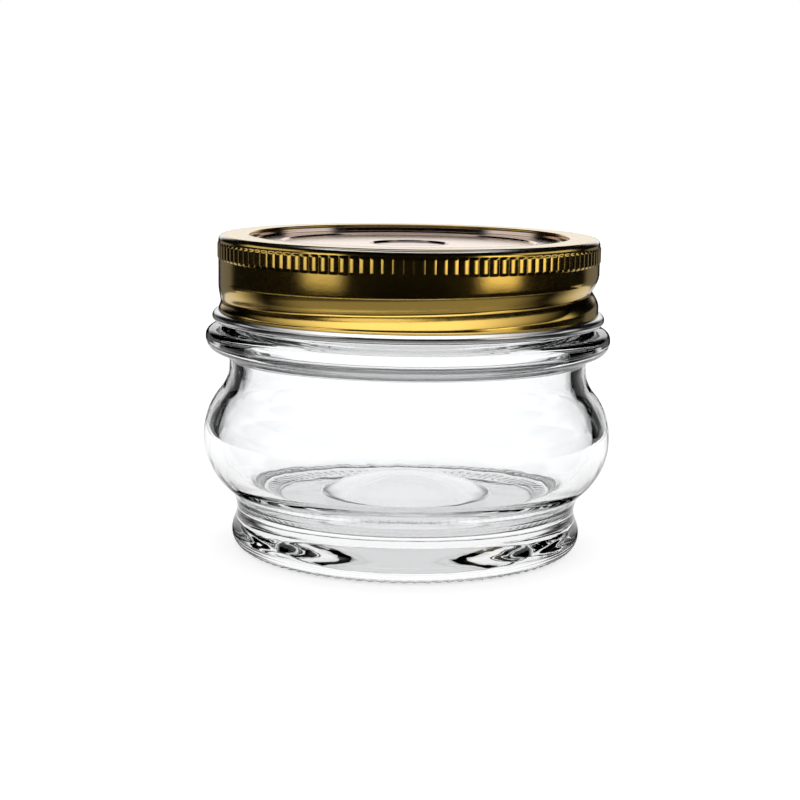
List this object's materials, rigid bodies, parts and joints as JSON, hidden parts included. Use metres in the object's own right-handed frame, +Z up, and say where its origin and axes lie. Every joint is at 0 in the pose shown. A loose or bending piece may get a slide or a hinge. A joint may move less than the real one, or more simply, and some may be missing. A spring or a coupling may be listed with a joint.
{
  "type": "mason jar",
  "caption": "Squat clear glass preserving jar on a waisted foot, with a flat sealing disc held down by a gold screw band.",
  "frame": {"origin": "centre of the ring the jar stands on, at the height of the surface it stands on", "axes": "+Z up along the jar's axis and out of its mouth, -Y towards the front, +X to the right when seen from the front"},
  "size_m": [0.0784, 0.0784, 0.06],
  "materials": {
    "glass": "clear, smooth pressed soda-lime glass",
    "lid_tinplate": "gold-lacquered tinplate, satin gloss",
    "compound": "soft plastisol, satin",
    "band_tinplate": "gold-lacquered tinplate, glossy, with a bare tin inner face that shows on the rolled edge"
  },
  "bodies": {
    "jar": {"glass_jar": "glass"},
    "lid": {"lid_disc": "lid_tinplate", "sealing_compound": "compound"},
    "band": {"screw_band": "band_tinplate"}
  },
  "joints": [
    {"name": "lid_lift", "type": "slide", "parent": "jar", "child": "lid", "axis": [0, 0, 1], "range_m": [0, 0.0255]},
    {"name": "band_turn", "type": "hinge", "parent": "lid", "child": "band", "pos_m": [0, 0, 0], "axis": [0, 0, 1], "range_deg": [0, 1440]}
  ],
  "couplings": [
    {"joint": "lid_lift", "follows": "band_turn", "m_per_rad": 0.0010106}
  ]
}
